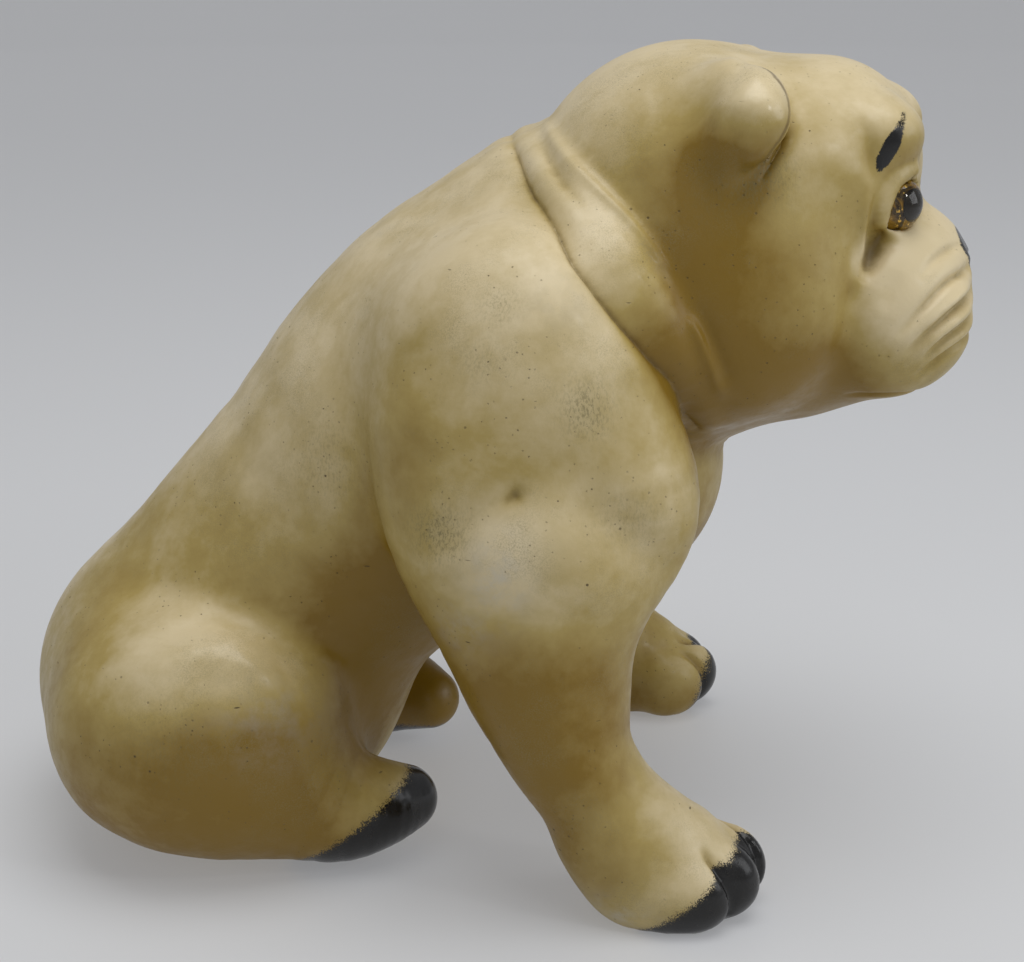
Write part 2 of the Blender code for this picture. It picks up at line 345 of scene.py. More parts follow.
def eye_socket(h, d):
    centre, out = eye_place()
    local = h - centre
    depth = local @ out
    across = np.sqrt(np.maximum((local**2).sum(1) - depth**2, 0.0))
    lid = np.hypot(across - (EYE_RADIUS + 0.9), depth - 1.3) - 1.3
    d = blend(d, lid, 4.0)
    back = np.array([out[1], -out[0], 0.0], np.float32)
    rim = [
        (*(centre - back * 2.0 + out * 3.8 + (0, 0, 10.2)), 2.0),
        (*(centre + back * 4.6 + out * 2.7 + (0, 0, 8.4)), 2.0),
        (*(centre + back * 9.6 + out * 0.9 + (0, 0, 1.0)), 2.0),
        (*(centre + back * 8.8 + out * 0.4 + (0, 0, -5.6)), 1.9),
        (*(centre + back * 1.5 + out * 1.5 + (0, 0, -10.4)), 1.8),
    ]
    d = blend(d, limb(h, rim), 3.0)
    dome = np.sqrt(across**2 + np.maximum(depth, 0.0) ** 2) - (EYE_RADIUS + 0.15)
    well = np.maximum(dome, -depth - 5.0)
    return np.maximum(d, -well)


def dog(p):
    folded = on_right(p)
    d = torso(p)
    hind = folded.copy()
    hind[:, 0] -= LEFT_FOOT_FORWARD * ramp(p[:, 1], 4, 24)
    d = blend(d, haunch(hind), 7 + 18 * ramp(p[:, 0], -98, -132))
    d = blend(d, foreleg(folded), 9 + 22 * ramp(p[:, 2], 140, 190))
    d = blend(d, neck(p), 12)
    d = blend(d, neck_roll(folded), 8)
    h = on_right(into_head(p))
    head = face(h)
    ears = h.copy()
    ears[:, 2] += LEFT_EAR_LOWER * (into_head(p)[:, 1] > 0)
    head = blend(head, ear(ears), 1.0 + 15 * ramp(h[:, 0], 88, 75))
    head = eye_socket(h, head)
    d = blend(d, head, 5)
    return np.maximum(d, -p[:, 2])


# --------------------------------------------------------------------------------------------------
# Skin: the field as a mesh, finer where the detail is
# --------------------------------------------------------------------------------------------------

GRID_STEP = 3.25
GRID_LOW = (-162.0, -114.0, -4.0)
GRID_HIGH = (160.0, 114.0, 262.0)
SLAB = 12  # grid planes worked out at a time
CORNERS = [(i, j, k) for i in (0, 1) for j in (0, 1) for k in (0, 1)]


def sample_grid(field):
    axes = [
        np.arange(low, high + GRID_STEP, GRID_STEP, dtype=np.float32)
        for low, high in zip(GRID_LOW, GRID_HIGH)
    ]
    values = np.empty([len(axis) for axis in axes], np.float32)
    for first in range(0, len(axes[0]), SLAB):
        slab = np.stack(np.meshgrid(axes[0][first:first + SLAB], *axes[1:], indexing="ij"), -1)
        values[first:first + SLAB] = field(slab.reshape(-1, 3)).reshape(slab.shape[:3])
    return values


def surface_net(values):
    """One vertex in each grid cell that the surface crosses, and a quad round each crossed edge."""
    inside, size = values < 0, values.shape
    held = sum(
        inside[i:size[0] - 1 + i, j:size[1] - 1 + j, k:size[2] - 1 + k].astype(np.int8)
        for i, j, k in CORNERS
    )
    crossed = (held > 0) & (held < 8)
    cells = np.argwhere(crossed)
    number = np.full(crossed.shape, -1)
    number[crossed] = np.arange(len(cells))
    level = [values[tuple((cells + corner).T)] for corner in CORNERS]
    total, count = np.zeros((len(cells), 3)), np.zeros(len(cells))
    for a, start in enumerate(CORNERS):
        for b, end in enumerate(CORNERS):
            if b > a and sum(abs(s - e) for s, e in zip(start, end)) == 1:
                cut = (level[a] < 0) != (level[b] < 0)
                share = level[a][cut] / (level[a][cut] - level[b][cut])
                total[cut] += np.array(start) + share[:, None] * (np.array(end) - np.array(start))
                count[cut] += 1
    points = (cells + total / count[:, None]) * GRID_STEP + np.array(GRID_LOW)
    quads = []
    for axis in range(3):
        one, other = [k for k in range(3) if k != axis]
        here = inside[tuple(slice(0, -1) if k == axis else slice(None) for k in range(3))]
        there = inside[tuple(slice(1, None) if k == axis else slice(None) for k in range(3))]
        edges = np.argwhere(here != there)
        outward = here[tuple(edges.T)]
        ring = []
        for back_one, back_other in ((1, 1), (0, 1), (0, 0), (1, 0)):
            cell = edges.copy()
            cell[:, one] -= back_one
            cell[:, other] -= back_other
            ring.append(number[tuple(cell.T)])
        ring = np.stack(ring, 1)
        turned = ~outward if axis != 1 else outward
        ring[turned] = ring[turned][:, ::-1]
        quads.append(ring)
    quads = np.concatenate(quads)
    return points, np.concatenate([quads[:, [0, 1, 2]], quads[:, [0, 2, 3]]])


def refine(points, triangles, wanted):
    """Halves every edge of the wanted triangles, and splits their neighbours to match."""
    ends = np.sort(triangles[:, [[0, 1], [1, 2], [2, 0]]], axis=2)
    keys = ends[..., 0] * len(points) + ends[..., 1]
    cut = np.unique(keys[wanted])
    spot = np.minimum(np.searchsorted(cut, keys), len(cut) - 1)
    middle = np.where(cut[spot] == keys, spot + len(points), -1)
    start, end = cut // len(points), cut % len(points)
    points = np.concatenate([points, (points[start] + points[end]) / 2])
    cuts = (middle >= 0).sum(1)
    lone = np.where(cuts == 1, np.argmax(middle >= 0, 1), 0)
    lone = np.where(cuts == 2, (np.argmin(middle, 1) + 1) % 3, lone)
    turn = (lone[:, None] + np.arange(3)) % 3
    a, b, c = np.take_along_axis(triangles, turn, 1).T
    ab, bc, ca = np.take_along_axis(middle, turn, 1).T
    layouts = {
        0: [(a, b, c)],
        1: [(a, ab, c), (ab, b, c)],
        2: [(a, ab, bc), (ab, b, bc), (a, bc, c)],
        3: [(a, ab, ca), (ab, b, bc), (ca, bc, c), (ab, bc, ca)],
    }
    pieces = [
        np.stack(corner, 1)[cuts == count]
        for count, layout in layouts.items() for corner in layout
    ]
    return points, np.concatenate(pieces)


def slope(points, values, step=0.25):
    rise = []
    for axis in range(3):
        ahead = points.copy()
        ahead[:, axis] += step
        rise.append((dog(ahead) - values) / step)
    return np.stack(rise, 1)


def settle(points, rounds=2):
    """Moves the points onto the surface; gives them back with its outward directions."""
    points = points.astype(np.float32)
    for turn in range(rounds + 1):
        values = dog(points)
        rise = slope(points, values)
        length = np.maximum(np.sqrt((rise**2).sum(1)), 0.35)
        out = rise / length[:, None]
        if turn < rounds:
            points = points - np.clip(values / length, -1.2, 1.2)[:, None] * out
    return points, out


def relax(points, triangles, share=0.5):
    total, count = np.zeros_like(points), np.zeros(len(points))
    for first in range(3):
        for second in range(3):
            if first != second:
                np.add.at(total, triangles[:, first], points[triangles[:, second]])
                np.add.at(count, triangles[:, first], 1)
    return points + share * (total / count[:, None] - points)


# --------------------------------------------------------------------------------------------------
# Strokes: creases and folds pressed into the skin. Paths are x, y, z and strength along the way.
# --------------------------------------------------------------------------------------------------


def nearness(points, path, width, sharp=False):
    """1 on the path and fading to 0 over its width, times the strength along it."""
    path = np.asarray(path, np.float32)
    reach = width * (5.0 if sharp else 2.6)
    near = ((points > path[:, :3].min(0) - reach) & (points < path[:, :3].max(0) + reach)).all(1)
    close = points[near]
    best, strength = np.full(len(close), 1e6, np.float32), np.zeros(len(close), np.float32)
    for start, end in zip(path, path[1:]):
        along = end[:3] - start[:3]
        share = np.clip(((close - start[:3]) @ along) / max(float(along @ along), 1e-6), 0.0, 1.0)
        gap = ((close - start[:3] - share[:, None] * along) ** 2).sum(1)
        closer = gap < best
        best[closer] = gap[closer]
        strength[closer] = (start[3] + (end[3] - start[3]) * share)[closer]
    gap = np.sqrt(best)
    fade = np.exp(-gap / width) if sharp else np.exp(-((gap / width) ** 2))
    result = np.zeros(len(points), np.float32)
    result[near] = fade * strength
    return result


LAID = []  # every stroke once it lies on the skin
NECK_CREASE = [
    (8, 0, 219, 0.7), (10, -21.5, 217.5, 0.9), (14.2, -43, 210, 1), (21.5, -69.4, 201.9, 1),
    (28.4, -76.9, 193.1, 1), (35.5, -78.6, 183.7, 1), (41.6, -77.3, 175.9, 1),
    (47.7, -73.8, 168.1, 1), (55.5, -58.3, 155.2, 0.9), (62, -48.8, 144.4, 0.5),
]
NECK_RIDGE = [
    (17, -10.7, 228.6, 0.4), (23.1, -38.5, 220.7, 1), (29.3, -49.6, 212.1, 1.1),
    (35.7, -57.3, 203.2, 1.1), (42.7, -62.2, 195.4, 0.9), (48, -64.5, 189.8, 0),
]
NECK_HOLLOW = [
    (14, -15, 224, 0), (19.6, -38.4, 216.2, 0.9), (27.2, -52.3, 206.1, 1),
    (34.1, -61.4, 197.3, 0.8), (42.8, -64.2, 187, 0.2),
]
THROAT_RIDGE = [
    (54, -66, 181, 0), (57.5, -66.6, 177, 0.9), (61.8, -65.9, 170, 1), (65, -63.5, 163, 0.9),
    (69, -60, 154, 0),
]
BODY_STROKES = [  # path, height in millimetres, width, whether its edge is sharp
    (NECK_CREASE, -1.1, 4.5, False),
    (NECK_CREASE, -2.0, 1.5, True),
    (NECK_RIDGE, 1.5, 2.3, False),
    (NECK_HOLLOW, -1.5, 2.2, False),
    (THROAT_RIDGE, 1.6, 2.2, False),
    ([(58, -69, 186, 0), (62.5, -67, 176, 1), (68, -63.5, 163, 0.6)], -0.8, 2.4, False),
    ([(-116, -69, 80, 0), (-100, -65, 90, 0.7), (-84, -60, 93.5, 1), (-71.8, -62, 89, 1),
      (-61, -64.5, 81, 0.8), (-53.8, -65, 72, 0.5), (-48, -63.9, 61, 0)], -2.0, 5.5, False),
    ([(-112, -76, 70, 0), (-98, -74, 79, 0.8), (-84, -72, 82, 1), (-73, -72, 78, 1),
      (-64, -73, 70, 0.8), (-58, -73, 60, 0)], 1.3, 5.0, False),
    ([(6, -98, 137, 0.4), (-4, -97, 130, 1), (-14, -94, 124, 0.8), (-24, -88, 120, 0)],
     -1.8, 5.0, False),
    ([(18, -100, 116, 0), (29, -99, 110, 1), (39, -93, 102, 0.6), (44, -86, 94, 0)],
     2.0, 8.0, False),
    ([(19.4, -97.7, 137, 0), (30.6, -97.6, 131, 0.7), (42.3, -92.3, 121, 1), (48, -84, 114, 0.8)],
     -3.2, 6.5, False),
    ([(61, -93, 27, 0), (64.5, -95.5, 23, 1), (69, -97, 17, 1), (72, -97, 10, 1), (72, -96, 4, 0.6)],
     -1.7, 1.5, False),
    ([(68, -73, 28, 0), (72, -75, 25.5, 1), (78, -80, 21, 1), (81, -82, 14, 1), (81, -82, 6, 0.6)],
     -1.6, 1.5, False),
    ([(68, -69, 24, 0), (73, -69.5, 20, 1), (76, -70, 13, 1), (76, -70, 5, 0.6)], -1.3, 1.5, False),
    ([(6.8, -98, 137.3, 1), (2, -97, 134, 0.3)], -1.9, 2.6, False),
]
BROW_PAINT = [
    (126.0, -27.9, 236.0, 0.42), (124.6, -31.5, 232.0, 0.62), (122.8, -34, 227.5, 1.25),
    (121.2, -35.2, 223.0, 1.0), (120.6, -35.4, 221.5, 0.6),
]
EAR_CREASE_SHADOW = [  # painted crease shadow: the dark line round the front edge of the ear's lobe
    (82, -41, 250.5, 0.5), (89.8, -50.3, 247.9, 1), (92.4, -52.8, 243.3, 1), (92.6, -57, 235.5, 1),
    (89.6, -57.8, 229.6, 1), (86, -58.5, 224.7, 0.5),
]
HEAD_STROKES = [
    ([(118.5, -37, 217, 0), (117.2, -38, 210, 0.8), (116.8, -36, 202, 1), (116, -35, 195, 1),
      (114.5, -38, 187, 0.3)], 1.6, 2.2, False),
    ([(125, -31.5, 201.5, 0.5), (121.5, -31, 198.5, 1), (118.5, -34, 193, 1),
      (115.6, -38, 187.5, 0)], -3.0, 2.6, False),
    ([(123, -32, 204, 0.3), (119.8, -33, 200, 0.9), (118, -35, 194, 0.6)], -2.0, 3.4, False),
    ([(116.4, -36, 191, 0.2), (114.4, -39.5, 185, 0.8), (113.3, -41.5, 179, 0.9),
      (114, -41.5, 172, 0.5), (117, -41, 166, 0)], -1.2, 3.6, False),
    ([(148, -8, 196, 0), (143, -16, 195, 0.7), (137.6, -24, 192.6, 1), (131.5, -31.5, 187.5, 0)],
     -1.7, 1.5, False),
    ([(151, -10, 189.5, 0.3), (146, -18, 188, 1), (139.5, -27, 185.5, 1), (133.6, -34, 180, 0.9),
      (127, -39, 172, 0)], -2.3, 1.5, False),
    ([(152, -12, 183, 0.3), (147, -22, 181, 1), (141, -30, 178, 1), (135.5, -36, 173, 0.8),
      (130, -39.5, 165.5, 0)], -2.4, 1.5, False),
    ([(151.5, -15, 177.5, 0.3), (146.5, -25, 174.5, 1), (140.5, -32.5, 171, 1),
      (135.4, -37, 164.5, 0)], -2.3, 1.4, False),
    ([(151, -14, 171.5, 0.3), (146, -26, 169, 0.9), (140.5, -33, 164.5, 0.9),
      (134, -37, 156.5, 0)], -1.9, 1.4, False),
    ([(149, -18, 184.8, 0), (144, -26, 182.5, 1), (137.5, -34, 177, 0.8), (132, -38, 170, 0)],
     1.1, 1.6, False),
    ([(149, -21, 179, 0), (144, -28.5, 176.5, 1), (138, -35, 171.5, 0.8), (133.5, -38.5, 165, 0)],
     1.1, 1.6, False),
    ([(127.5, -36, 192, 0), (125, -38, 186, 0.8), (123.5, -40.5, 179, 0)], -0.9, 3.0, False),
    ([(114.1, -33.6, 236, 0), (116.1, -36.3, 229.3, 0.8), (117, -37, 223.7, 1),
      (117.5, -37.5, 217, 0)], -1.2, 2.6, False),
    ([(112.5, -30, 150, 0), (119, -30.5, 148.5, 0.7), (126, -29, 151, 1), (134, -22, 155, 1),
      (139, -10, 158, 1), (140.5, 0, 159, 1)], -1.7, 1.4, False),
    ([(146, 0, 180, 0.2), (148, 0, 174, 1), (147, 0, 166, 1), (141, 0, 159, 0.8)], -1.8, 1.2, False),
    ([(86, -30, 248.5, 0.3), (91, -37, 246.5, 1), (94.5, -43, 241.5, 1), (94.5, -47, 234, 1),
      (91, -49, 226.5, 1), (87, -52, 220, 0.4)], -2.2, 1.3, True),
]


def laid(path, on_head):
    """A path with more points along it, moved onto the skin."""
    path = smooth_path(path, 3)
    spots = out_of_head(path[:, :3]) if on_head else path[:, :3]
    spots, _ = settle(spots, 5)
    path[:, :3] = into_head(spots) if on_head else spots
    return path


def lay_strokes():
    for on_head, strokes in ((False, BODY_STROKES), (True, HEAD_STROKES)):
        for path, height, width, sharp in strokes:
            LAID.append((on_head, laid(path, on_head), height, width, sharp))


def pressed(points):
    """How far the strokes move the skin outwards, and how deep it lies in a crease, which the paint
    darkens as painted crease shadow.
    """
    places = {False: on_right(points), True: on_right(into_head(points))}
    moved, crease_shade = np.zeros(len(points), np.float32), np.zeros(len(points), np.float32)
    for on_head, path, height, width, sharp in LAID:
        mark = nearness(places[on_head], path, width, sharp)
        moved += height * mark
        if width < 3.5:
            crease_shade += max(-height, 0.0) * mark * (0.5 if on_head else 1.0)
    return moved, crease_shade


def near_strokes(points, reach, only_sharp=False):
    places = {False: on_right(points), True: on_right(into_head(points))}
    near = np.zeros(len(points), bool)
    for on_head, path, _, width, sharp in LAID:
        if sharp or (width < 4.0 and not only_sharp):
            near |= nearness(places[on_head], path, reach) > 0.08
    return near


def noticed(points, level):
    """Where the skin is refined: first the head, feet and strokes, then the front of the face and
    the strokes, and last the sharp strokes alone."""
    if level == 3:
        return near_strokes(points, 0.8, only_sharp=True)
    head = on_right(into_head(points))
    centre, _ = eye_place()
    eye = np.sqrt(((head - centre) ** 2).sum(1))
    face = (head[:, 0] > 108) & (head[:, 2] > 148)
    if level == 1:
        paws = (points[:, 2] < 34) & (points[:, 0] > 42)
        feet = (points[:, 2] < 40) & (points[:, 0] > -62)
        skull = (head[:, 0] > 40) & (head[:, 2] > 138)
        return skull | feet | paws | near_strokes(points, 3.0)
    brow = nearness(head, BROW_PAINT, 5.0) > 0.08
    return (face & (head[:, 1] < -6)) | (eye < 16) | brow | near_strokes(points, 1.4)


def skin_mesh():
    lay_strokes()
    points, triangles = surface_net(sample_grid(dog))
    points, _ = settle(points, 1)
    points = relax(points, triangles)
    points, _ = settle(points, 1)
    for level in (1, 2, 3):
        before = len(points)
        centres = points[triangles].mean(1)
        points, triangles = refine(points, triangles, noticed(centres, level))
        points[before:], _ = settle(points[before:], 1)
    points = relax(points, triangles, 0.4)
    points, out = settle(points, 2)
    moved, crease_shade = pressed(points)
    return points, triangles, out, moved, crease_shade


# --------------------------------------------------------------------------------------------------
# Paint: where ochre and painted shade, crease shadow, black, dirt and wear lie, as vertex attributes
# --------------------------------------------------------------------------------------------------


def patch(points, centre, radii):
    away = (points - np.asarray(centre, np.float32)) / np.asarray(radii, np.float32)
    return np.exp(-(away**2).sum(1))


OCHRE_AND_SHADE_BODY = [  # centre, radii, strength; both sides; ochre airbrushing that is also painted shade under the belly, limbs and haunches
    ((-20, -55, 86), (22, 30, 24), 0.7), ((-48, -50, 74), (24, 34, 24), 0.4),
    ((-38, -40, 48), (22, 30, 22), 0.9), ((-90, -70, 16), (60, 40, 17), 0.65),
    ((16, -88, 64), (30, 30, 34), 0.85), ((18, 0, 90), (60, 45, 30), 0.8),
    ((12, -100, 112), (26, 16, 22), -0.3), ((-25, -80, 150), (14, 30, 26), 0.4),
    ((60, -55, 168), (15, 22, 24), 0.5), ((28, -62, 197), (12, 30, 22), -0.1),
    ((-78, -84, 52), (42, 22, 15), 0.4), ((-130, -40, 58), (22, 46, 42), 0.55),
    ((-92, -86, 52), (30, 20, 22), 0.32), ((50, -84, 15), (20, 20, 12), -0.15),
    ((-5, -98, 150), (26, 20, 16), 0.15),
    ((-95, -30, 105), (60, 50, 26), 0.3), ((62, -30, 130), (30, 40, 22), -0.05),
    ((-60, -85, 40), (16, 20, 30), 0.4),
]
# Ochre on the head, also painted shade. The two patches under the ear's lobe are painted shadow, and
# the negative patch on the muzzle's side is a painted highlight.
OCHRE_AND_SHADE_HEAD = [
    ((78, -45, 150), (34, 32, 20), 1.0), ((64, -52, 178), (32, 26, 36), 0.55),
    ((100, -36, 150), (28, 26, 14), 0.8), ((75, -54, 208), (18, 16, 20), 0.5),
    ((117, -33, 196), (6, 7, 9), -0.45), ((114, -38, 187), (4, 6, 4), 0.4),
    ((55, -40, 225), (16, 26, 18), 0.3),
    ((104, -42, 168), (9, 14, 12), 0.3), ((96, -30, 236), (9, 22, 12), 0.15),
    ((130, -28, 180), (20, 18, 20), -0.4), ((92, -48, 190), (26, 18, 26), 0.25),
    ((80, -58, 219), (9, 9, 8), 1.0), ((75, -58, 223), (9, 9, 9), 0.8),
]
GLOSS_HEAD = [((84, -55, 240), (11, 12, 11), 1.0), ((124, -20, 232), (10, 14, 8), 0.4)]
GLOSS_HAUNCH = ((-72, -72, 78), (14, 14, 12), 0.8)
EAR_LINE_DEPTH, EAR_LINE_WIDTH = 3.2, 1.2
OUTER_CLEFT = [(63, -94.5, 24.5, 0.3), (69.4, -97, 17.2, 1), (72, -96, 10, 1)]
INNER_CLEFT = [(70, -73.5, 27, 0.3), (76.8, -79.2, 23.2, 1), (80, -81, 15, 1)]
CLEFT_WIDTH = 2.2
UNPAINTED = -9.0  # millimetres outside the edge of the black; also its limit each way


def black_toes(folded):
    """Millimetres inside the edge of the black on the forefeet."""
    x, z = folded[:, 0], folded[:, 2]
    inner = ramp(folded[:, 1], -86, -74)
    cut = (1 - inner) * (x - 1.245 * z - 43.3) + inner * (x - 0.4 * z - 72.0)
    toes = np.minimum(cut, 30.0 - z) / 1.5
    clefts = nearness(folded, OUTER_CLEFT, CLEFT_WIDTH)
    clefts += nearness(folded, INNER_CLEFT, CLEFT_WIDTH)
    return np.where(x > 40, toes + 5.0 * clefts, UNPAINTED)


def black_hind_feet(points, folded):
    """The same on the hind feet; the left one is black only along its sole."""
    x, z = folded[:, 0], folded[:, 2]
    hind = (x - 1.5 * z + 70.0) / 1.8
    hind = np.where(points[:, 1] > 0, np.minimum(hind, 9.0 - z), hind)
    hind = np.minimum(hind, (-26.0 - folded[:, 1]) / 1.5)
    return np.where((x > -75) & (x < -8) & (z < 40), hind, UNPAINTED)


def ink_marks(head):
    """The same on the brows and nose."""
    brow = nearness(head, BROW_PAINT, 2.6)
    brow = np.where(brow > 0.02, 4.5 * (brow - 0.40), UNPAINTED)
    nose = np.minimum(1.2 - ball(head, (141, 0, 189), (10, 12, 9)), head[:, 0] - 139.0)
    return np.maximum(brow, nose)
# Left side only. The strong first patch is painted shade over the left hind foot.
OCHRE_AND_SHADE_ONE_SIDE = [
    ((-20, 45, 18), (28, 24, 22), 2.2), ((58, 72, 12), (26, 20, 14), 0.8),
    ((55, 78, 40), (20, 20, 26), 0.4),
]
GRIME_AND_SHADE = [  # grey-green rubs, different on each side, and a painted shadow under the right ear's lobe
    ((27, -93, 160.7), (7, 9, 8), 0.9), ((-15, -95, 124.6), (9, 9, 8), 1.0),
    ((39, -94, 129), (10, 9, 8), 0.45), ((2.7, -86, 189), (6, 9, 5), 0.5),
    # painted shadow under the right ear's lobe
    ((77, -58, 221), (9, 10, 9), 0.9), ((62, -58, 215), (10, 14, 12), 0.35),
    ((-2.8, -91, 174), (7, 8, 6), 0.4), ((-36, -42, 176), (3, 9, 6), 0.5),
    ((-48, -50, 133), (14, 20, 14), 0.45), ((-96, -82, 55), (24, 15, 16), 0.35),
    ((-30, 60, 140), (16, 20, 14), 0.5), ((10, 95, 150), (12, 12, 14), 0.6),
    ((-110, 60, 70), (20, 20, 12), 0.4), ((-60, 0, 150), (20, 26, 14), 0.3),
]
CHALK = [  # rubbed pale, towards the plaster
    ((3, -97, 114), (9, 10, 11), 1.2), ((-64, -80, 62), (18, 16, 14), 0.5),
    ((-8, -95, 96), (9, 9, 8), 0.5), ((140, -30, 168), (8, 12, 14), 0.3),
    ((22, -92, 192), (12, 12, 9), 0.5), ((38, -98, 6), (14, 9, 7), 0.8),
    ((-88, -50, 128), (16, 20, 12), 0.4), ((50, -88, 60), (10, 12, 14), 0.3),
    ((-40, 50, 60), (16, 16, 14), 0.5), ((0, 98, 110), (12, 10, 14), 0.6),
]


def painted(points, out, crease_shade):
    """The vertex attributes that the paint reads, by name."""
    folded, head = on_right(points), on_right(into_head(points))
    # Painted shade: darker where the skin faces sideways or down, in hollows that the field finds
    # close outside it, and in creases. The patches add ochre airbrushing and more painted shade.
    occlusion_shade = np.clip((6.0 - dog(points + 6.0 * out)) / 6.0, 0.0, 1.0)
    ochre_and_shade = 0.62 * ramp(out[:, 2], 0.9, -0.45) + 0.7 * occlusion_shade + 0.2 * np.clip(crease_shade, 0, 2.5)
    for place, patches in ((folded, OCHRE_AND_SHADE_BODY), (head, OCHRE_AND_SHADE_HEAD), (points, OCHRE_AND_SHADE_ONE_SIDE)):
        for centre, radii, strength in patches:
            ochre_and_shade += strength * patch(place, centre, radii)
    ears = head.copy()
    ears[:, 2] += LEFT_EAR_LOWER * (into_head(points)[:, 1] > 0)
    crease_shade = crease_shade + EAR_LINE_DEPTH * nearness(ears, laid(EAR_CREASE_SHADOW, True), EAR_LINE_WIDTH)
    gloss = sum(strength * patch(head, centre, radii) for centre, radii, strength in GLOSS_HEAD)
    centre, radii, strength = GLOSS_HAUNCH
    gloss = gloss + strength * patch(folded, centre, radii)
    grime_and_shade = sum(strength * patch(points, centre, radii) for centre, radii, strength in GRIME_AND_SHADE)
    chalk = sum(strength * patch(points, centre, radii) for centre, radii, strength in CHALK)
    black = np.maximum(black_toes(folded), black_hind_feet(points, folded))
    return {
        "ink": np.clip(ink_marks(head), UNPAINTED, -UNPAINTED),
        "black": np.clip(black, UNPAINTED, -UNPAINTED),
        "gloss": np.clip(gloss, 0.0, 1.0),
        "ochre_and_shade": ochre_and_shade, "crease_shade": crease_shade, "grime_and_shade": grime_and_shade, "chalk": chalk,
    }


# --------------------------------------------------------------------------------------------------
# Materials
# --------------------------------------------------------------------------------------------------


class Paint:
    """A material's node tree, written as nested calls."""

    def __init__(self, name):
        self.material = bpy.data.materials.new(name)
        self.material.use_nodes = True
        self.tree = self.material.node_tree
        self.shader = self.tree.nodes["Principled BSDF"]
        coordinates = self.tree.nodes.new("ShaderNodeTexCoord")
        self.place = coordinates.outputs["Object"]

    def give(self, socket, value):
        if isinstance(value, bpy.types.NodeSocket):
            self.tree.links.new(value, socket)
        elif isinstance(value, (tuple, list)) and len(value) == 3 and socket.type == "RGBA":
            socket.default_value = (*value, 1.0)
        else:
            socket.default_value = value

    def set(self, **inputs):
        for name, value in inputs.items():
            self.give(self.shader.inputs[name.replace("_", " ")], value)

    def attribute(self, name):
        node = self.tree.nodes.new("ShaderNodeAttribute")
        node.attribute_name = name
        return node.outputs["Fac"]

    def math(self, kind, *values, clamp=False):
        node = self.tree.nodes.new("ShaderNodeMath")
        node.operation, node.use_clamp = kind, clamp
        for socket, value in zip(node.inputs, values):
            self.give(socket, value)
        return node.outputs[0]

    def add(self, *values):
        total = values[0]
        for value in values[1:]:
            total = self.math("ADD", total, value)
        return total

    def times(self, *values):
        total = values[0]
        for value in values[1:]:
            total = self.math("MULTIPLY", total, value)
        return total

    def span(self, value, low, high, to_low=0.0, to_high=1.0, linear=False):
        node = self.tree.nodes.new("ShaderNodeMapRange")
        node.interpolation_type = "LINEAR" if linear else "SMOOTHSTEP"
        for socket, given in zip(node.inputs, (value, low, high, to_low, to_high)):
            self.give(socket, given)
        return node.outputs[0]

    def stretched(self, scale, turn=(0.0, 0.0, 0.0)):
        node = self.tree.nodes.new("ShaderNodeMapping")
        self.give(node.inputs["Vector"], self.place)
        node.inputs["Scale"].default_value = scale
        node.inputs["Rotation"].default_value = turn
        return node.outputs[0]

    def noise(self, scale, detail=3.0, rough=0.55, where=None, warp=0.0):
        node = self.tree.nodes.new("ShaderNodeTexNoise")
        self.give(node.inputs["Vector"], where or self.place)
        node.inputs["Scale"].default_value = scale
        node.inputs["Detail"].default_value = detail
        node.inputs["Roughness"].default_value = rough
        node.inputs["Distortion"].default_value = warp
        return node.outputs["Fac"]

    def cells(self, scale, where=None):
        """Distance to the nearest of scattered points, and a random number for each."""
        node = self.tree.nodes.new("ShaderNodeTexVoronoi")
        self.give(node.inputs["Vector"], where or self.place)
        node.inputs["Scale"].default_value = scale
        chance = self.tree.nodes.new("ShaderNodeSeparateColor")
        self.give(chance.inputs[0], node.outputs["Color"])
        return node.outputs["Distance"], chance.outputs[0]

    def mix(self, share, one, other):
        node = self.tree.nodes.new("ShaderNodeMix")
        node.data_type = "RGBA"
        self.give(node.inputs[0], share)
        self.give(node.inputs[6], one)
        self.give(node.inputs[7], other)
        return node.outputs[2]

    def bump(self, *layers):
        """Layers of height, strength and depth in metres, one over another."""
        normal = None
        for height, strength, depth in layers:
            node = self.tree.nodes.new("ShaderNodeBump")
            self.give(node.inputs["Height"], height)
            node.inputs["Strength"].default_value = strength
            node.inputs["Distance"].default_value = depth
            if normal is not None:
                self.give(node.inputs["Normal"], normal)
            normal = node.outputs[0]
        self.give(self.shader.inputs["Normal"], normal)


CREAM = (0.69, 0.575, 0.355)
OCHRE_AND_SHADE_MID = (0.42, 0.312, 0.098)
OCHRE_AND_SHADE_DEEP = (0.225, 0.130, 0.006)
CREASE_SHADOW_BROWN = (0.13, 0.08, 0.02)
RUBBED_PLASTER = (0.56, 0.55, 0.52)
PALE_CREAM = (0.78, 0.69, 0.48)
GREEN_GRIME_AND_SHADE = (0.19, 0.16, 0.065)
THIN_GRIME = (0.24, 0.20, 0.095)
PIT_BROWN = (0.07, 0.05, 0.02)
TOE_BLACK = (0.009, 0.0085, 0.008)
DUST_ON_BLACK = (0.10, 0.09, 0.07)


